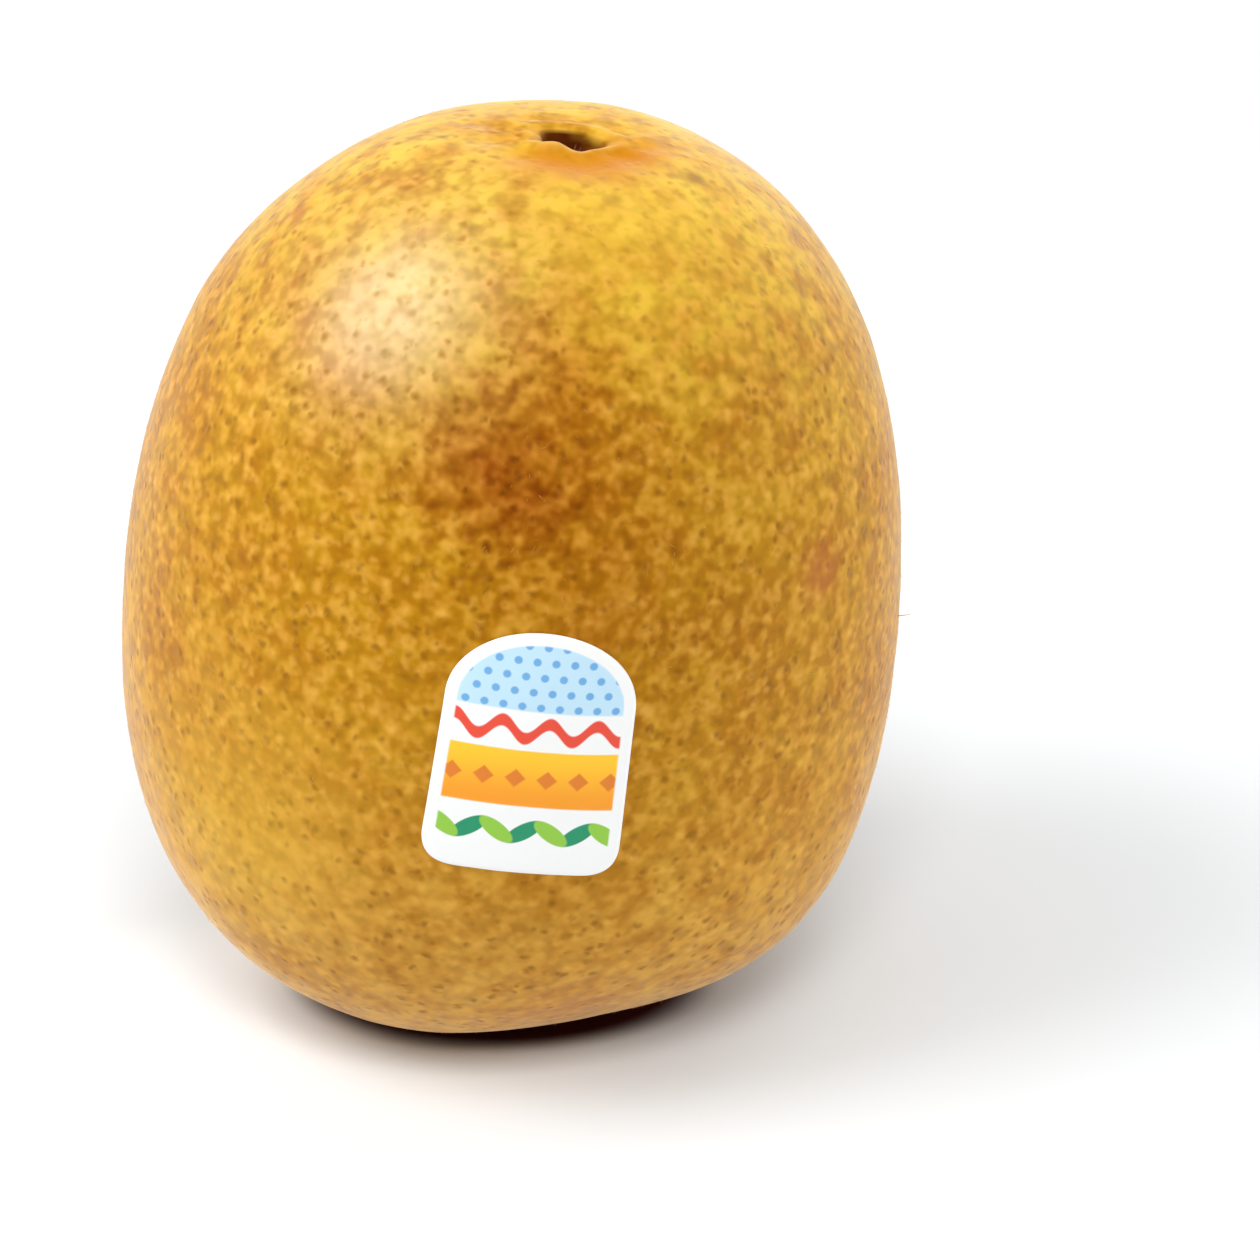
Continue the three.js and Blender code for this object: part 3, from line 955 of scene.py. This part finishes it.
def placings_in_scar(count, longest, reach, sign, seed):
    """Matrices that stand strands on a scar's floor, leaning outwards, each at its own length."""
    tree = tree_of("kiwi_skin")
    dice = random.Random(seed)
    origin = Vector(bpy.data.objects["kiwi_skin"].data["own_origin"])
    if sign > 0:
        origin += Vector((SCAR_SHIFT["x"], SCAR_SHIFT["y"], 0)) * MM
    axis = FRUIT_AXIS * sign
    middle = tree.ray_cast(origin + axis * WIDTH * MM, -axis)[0]
    side = axis.orthogonal().normalized()
    placings = []
    while len(placings) < count:
        around = dice.uniform(0, math.tau)
        away = reach * math.sqrt(dice.random())
        out = Matrix.Rotation(around, 3, axis) @ side
        start = middle + out * away * MM + axis * 6 * MM
        root = tree.ray_cast(start, -axis)[0]
        tilt = dice.uniform(0.1, 0.75)
        along = (axis * math.cos(tilt) + out * math.sin(tilt)).normalized()
        size = longest * dice.uniform(0.55, 1.0)
        tip = root + along * size * MM
        if sign < 0 and tip.z < 0.1 * MM:
            continue
        turn = along.to_track_quat("Z", "X").to_matrix().to_4x4()
        spin = Matrix.Rotation(dice.uniform(0, math.tau), 4, "Z")
        placings.append(Matrix.Translation(root - along * 0.08 * MM) @ turn @ spin @ Matrix.Scale(size, 4))
    return placings


class KIWI_OT_strands(bpy.types.Operator):
    """Stand the dried fibres and styles in the two scars"""

    bl_idname = "kiwi.strands"
    bl_label = "Dried strands"

    def execute(self, context):
        settings = context.scene.kiwi_strands
        material = strand_material(settings)
        for name, count, longest, reach, sign in (
            ("stem_fibres", settings.fibre_count, settings.fibre_length, 1.5, 1),
            ("blossom_styles", settings.style_count, settings.style_length, 2.1, -1),
        ):
            template = strand(1.0, 0.2, 0.25, 6, 6)
            placings = placings_in_scar(count, longest, reach, sign, settings.seed)
            finished_piece(name, strewn(name, template, placings), material, "skin")
        return {"FINISHED"}


class KiwiDownSettings(bpy.types.PropertyGroup):
    seed: IntProperty(name="Seed", description="Seed of the hairs' places", default=21)
    count: IntProperty(name="Hairs", description="How many hairs lie on the skin", default=5000)
    length: FloatProperty(name="Length", description="Longest hair, mm", default=0.5)
    thickness: FloatProperty(name="Thickness", description="Of a hair 1 mm long, mm", default=0.055)
    hair: colour_setting("Hair", "The skin's fine down", "#b98a4a")


def down_material(settings):
    material, bench, shader, where = new_material("kiwi_down")
    grain = bench.group(grain_group(), Vector=where, Fine=0.5, Broad=3.0)
    pale = tuple(min(1, channel * 1.5) for channel in settings.hair)
    faded = bench.ramp(grain["Drift"], 0.35, 0.65)
    bench.feed(shader["Base Color"], bench.blend(faded, tuple(settings.hair), pale))
    shader["Roughness"].default_value = 0.6
    return material


def hair_placings(settings):
    """Matrices that lay hairs on the clear skin, each pointing mostly towards the blossom end."""
    tree = tree_of("kiwi_skin")
    film = tree_of("fruit_label")
    dice = random.Random(settings.seed)
    middle = Vector((0, 0, DOWN_MIDDLE * MM))
    placings = []
    while len(placings) < settings.count:
        out = Vector([dice.gauss(0, 1) for _ in range(3)]).normalized()
        root, normal, _, _ = tree.ray_cast(middle + out * FAR_OUT * MM, -out)
        too_low = root.z < DOWN_ABOVE_GROUND * MM
        at_end = abs(out.dot(FRUIT_AXIS)) > NEAR_END
        if too_low or at_end or film.find_nearest(root)[3] < DOWN_OFF_LABEL * MM:
            continue
        drift = Vector([dice.gauss(0, 0.5) for _ in range(3)]) - FRUIT_AXIS
        lying = (drift - normal * drift.dot(normal)).normalized()
        tilt = math.radians(dice.uniform(8, 32))
        along = lying * math.cos(tilt) + normal * math.sin(tilt)
        size = settings.length * dice.uniform(0.35, 1.0)
        turn = along.to_track_quat("Z", "X").to_matrix().to_4x4()
        placings.append(Matrix.Translation(root - normal * 0.01 * MM) @ turn @ Matrix.Scale(size, 4))
    stray = tree.find_nearest(Vector(STRAY_HAIR["from"]) * MM)[0]
    turn = Vector(STRAY_HAIR["along"]).to_track_quat("Z", "X").to_matrix().to_4x4()
    placings.append(Matrix.Translation(stray) @ turn @ Matrix.Scale(STRAY_HAIR["length"], 4))
    return placings


class KIWI_OT_down(bpy.types.Operator):
    """Lay the fine down on the skin"""

    bl_idname = "kiwi.down"
    bl_label = "Fine down"

    def execute(self, context):
        settings = context.scene.kiwi_down
        template = strand(1.0, settings.thickness, 0.12, 3, 3)
        mesh = strewn("kiwi_down", template, hair_placings(settings))
        finished_piece("kiwi_down", mesh, down_material(settings), "skin")
        return {"FINISHED"}


class KiwiStageSettings(bpy.types.PropertyGroup):
    elevation: FloatProperty(
        name="Elevation", description="Camera angle above level", subtype="ANGLE", default=math.radians(25)
    )
    distance: FloatProperty(
        name="Distance", description="From the camera to the fruit's middle", unit="LENGTH", default=0.52
    )
    field: FloatProperty(
        name="Field", description="Width of the view at the fruit", unit="LENGTH", default=0.09079
    )
    aim_height: FloatProperty(
        name="Aim height", description="Height of the fruit's middle", unit="LENGTH", default=0.031
    )
    aside: FloatProperty(
        name="Aside", description="How far right the view's middle lies", unit="LENGTH", default=0.00861
    )
    below: FloatProperty(
        name="Below", description="How far below the view's middle lies", unit="LENGTH", default=0.00217
    )
    key_power: FloatProperty(name="Key", description="Power of the key light", unit="POWER", default=3.9)
    fill_power: FloatProperty(
        name="Fill", description="Power of the floor's own fill light", unit="POWER", default=4.2
    )
    surround: FloatProperty(name="Surround", description="Strength of the pale surround", default=1.0)
    zenith: FloatProperty(name="Zenith", description="Times as bright overhead", default=0.85)
    left: FloatProperty(name="Left", description="Times as bright at the left", default=1.15)
    right: FloatProperty(name="Right", description="Times as bright at the right", default=2.02)
    horizon: FloatProperty(name="Horizon", description="Times as bright at the horizon", default=1.15)
    front: FloatProperty(name="Front", description="Strength behind the camera", default=0.05)


def aimed(thing, target):
    thing.rotation_euler = (target - thing.location).to_track_quat("-Z", "Y").to_euler()


def floor_material():
    """Pale floor with a nearly black painted contact shadow close round the fruit, painted light beside it
    at the left and a painted shadow at the right.
    """
    material, bench, shader, where = new_material("studio_floor")
    parts = bench.parts(where)
    aside = bench.less(parts["X"], CONTACT_MIDDLE[0] * MM)
    behind = bench.less(parts["Y"], CONTACT_MIDDLE[1] * MM)
    to_side = bench.math("DIVIDE", aside, CONTACT_REACH["aside"] * MM)
    to_front = bench.math("DIVIDE", behind, -CONTACT_REACH["front"] * MM)
    to_back = bench.math("DIVIDE", behind, CONTACT_REACH["back"] * MM)
    away = bench.math("SQRT", bench.square_sum(to_side, bench.larger(to_front, to_back)))
    # Painted light: the floor lighter beside the contact at the left
    leftward = bench.ramp(parts["X"], -0.002, 0.014, 1.0, 0.0)
    lit = bench.times(bench.ramp(away, 1.3, 3.0, 0.55, 0.0), leftward)
    pale = bench.blend(lit, FLOOR_PALE, FLOOR_PAINTED_LIGHT)
    # Painted shadow: a grey spot on the floor at the right
    from_spot = bench.vector("DISTANCE", where, in_metres(PAINTED_SHADOW_SPOT["at"]))
    grey = bench.ramp(from_spot, PAINTED_SHADOW_SPOT["from"] * MM, PAINTED_SHADOW_SPOT["to"] * MM, 1.0, 0.0)
    pale = bench.blend(grey, pale, FLOOR_PAINTED_SHADOW)
    # Painted contact shadow: the floor nearly black close round the contact
    clear = bench.ramp(away, 1.0, 1.3, 0.006, 1.0)
    bench.feed(shader["Base Color"], bench.blend(clear, CONTACT_PAINTED_SHADOW, pale))
    bench.feed(shader["Roughness"], bench.ramp(bench.noise(where, 40.0), 0.3, 0.7, 0.75, 0.85))
    shader["Specular IOR Level"].default_value = 0.0
    return material


def soft_light(name, power, size, direction, target):
    """An area light that looks at the target from a direction."""
    light = bpy.data.objects.new(name, bpy.data.lights.new(name, "AREA"))
    light.data.energy = power
    light.data.size = size
    light.location = target + direction * LIGHT_DISTANCE
    aimed(light, target)
    bpy.context.scene.collection.objects.link(light)
    return light


class KIWI_OT_stage(bpy.types.Operator):
    """Set up the pale floor, the soft light and the camera"""

    bl_idname = "kiwi.stage"
    bl_label = "Kiwi stage"

    def execute(self, context):
        scene = context.scene
        settings = scene.kiwi_stage
        bm = bmesh.new()
        bmesh.ops.create_grid(bm, x_segments=2, y_segments=2, size=FLOOR_HALF)
        mesh = bpy.data.meshes.new("studio_floor")
        bm.to_mesh(mesh)
        bm.free()
        mesh.materials.append(floor_material())
        floor = bpy.data.objects.new("studio_floor", mesh)
        scene.collection.objects.link(floor)

        target = Vector((0, 0, settings.aim_height))
        back = Vector((0, -math.cos(settings.elevation), math.sin(settings.elevation)))
        up = Vector((0, math.sin(settings.elevation), math.cos(settings.elevation)))
        camera = bpy.data.objects.new("camera", bpy.data.cameras.new("camera"))
        camera.location = target + back * settings.distance
        camera.data.sensor_width = SENSOR
        camera.data.lens = SENSOR * settings.distance / settings.field
        aimed(camera, target + Vector((settings.aside, 0, 0)) - up * settings.below)
        scene.collection.objects.link(camera)
        scene.camera = camera

        soft_light("key", settings.key_power, KEY_SIZE, KEY_DIRECTION, target)
        fill = soft_light("floor_fill", settings.fill_power, FILL_SIZE, FILL_DIRECTION, target)
        floor_only = bpy.data.collections.new("lit_by_fill")
        floor_only.objects.link(floor)
        fill.light_linking.receiver_collection = floor_only

        world = bpy.data.worlds.new("surround")
        world.use_nodes = True
        bench = Bench(world.node_tree)
        ground = world.node_tree.nodes["Background"]
        seen = bench.node("ShaderNodeLightPath").outputs["Is Camera Ray"]
        toward_sky = bench.node("ShaderNodeTexCoord").outputs["Generated"]
        in_front = bench.vector("DOT_PRODUCT", toward_sky, (0, -1, 0))
        lit = bench.ramp(in_front, 0.3, 0.95, settings.surround, settings.front)
        upward = bench.vector("DOT_PRODUCT", toward_sky, (0, 0, 1))
        lit = bench.times(lit, bench.ramp(upward, 0.0, 1.0, 1.0, settings.zenith))
        lit = bench.times(lit, bench.ramp(upward, 0.03, 0.42, settings.horizon, 1.0))
        rightward = bench.vector("DOT_PRODUCT", toward_sky, (1, 0, 0))
        lit = bench.times(lit, bench.ramp(rightward, -1.0, 1.0, settings.left, settings.right))
        bench.feed(ground.inputs["Color"], (1, 1, 1))
        bench.feed(ground.inputs["Strength"], bench.larger(lit, seen))
        scene.world = world
        scene.view_settings.view_transform = "Standard"
        return {"FINISHED"}


SETTINGS = {
    "kiwi_skin": KiwiSkinSettings,
    "kiwi_label": KiwiLabelSettings,
    "kiwi_strands": KiwiStrandSettings,
    "kiwi_down": KiwiDownSettings,
    "kiwi_stage": KiwiStageSettings,
}
STEPS = (KIWI_OT_skin, KIWI_OT_label, KIWI_OT_strands, KIWI_OT_down, KIWI_OT_stage)


class KIWI_PT_panel(bpy.types.Panel):
    """Lists the fruit's pieces"""

    bl_idname = "KIWI_PT_panel"
    bl_label = "Golden kiwi fruit"
    bl_space_type = "VIEW_3D"
    bl_region_type = "UI"
    bl_category = "Kiwi"

    def draw(self, context):
        for step in STEPS:
            self.layout.operator(step.bl_idname)


CLASSES = (*SETTINGS.values(), *STEPS, KIWI_PT_panel)


def register():
    for kind in CLASSES:
        bpy.utils.register_class(kind)
    for name, kind in SETTINGS.items():
        setattr(bpy.types.Scene, name, PointerProperty(type=kind))


def unregister():
    for name in SETTINGS:
        delattr(bpy.types.Scene, name)
    for kind in reversed(CLASSES):
        bpy.utils.unregister_class(kind)


def main():
    register()
    bpy.ops.kiwi.skin()
    bpy.ops.kiwi.label()
    bpy.ops.kiwi.strands()
    bpy.ops.kiwi.down()
    bpy.ops.kiwi.stage()


if __name__ == "__main__":
    main()
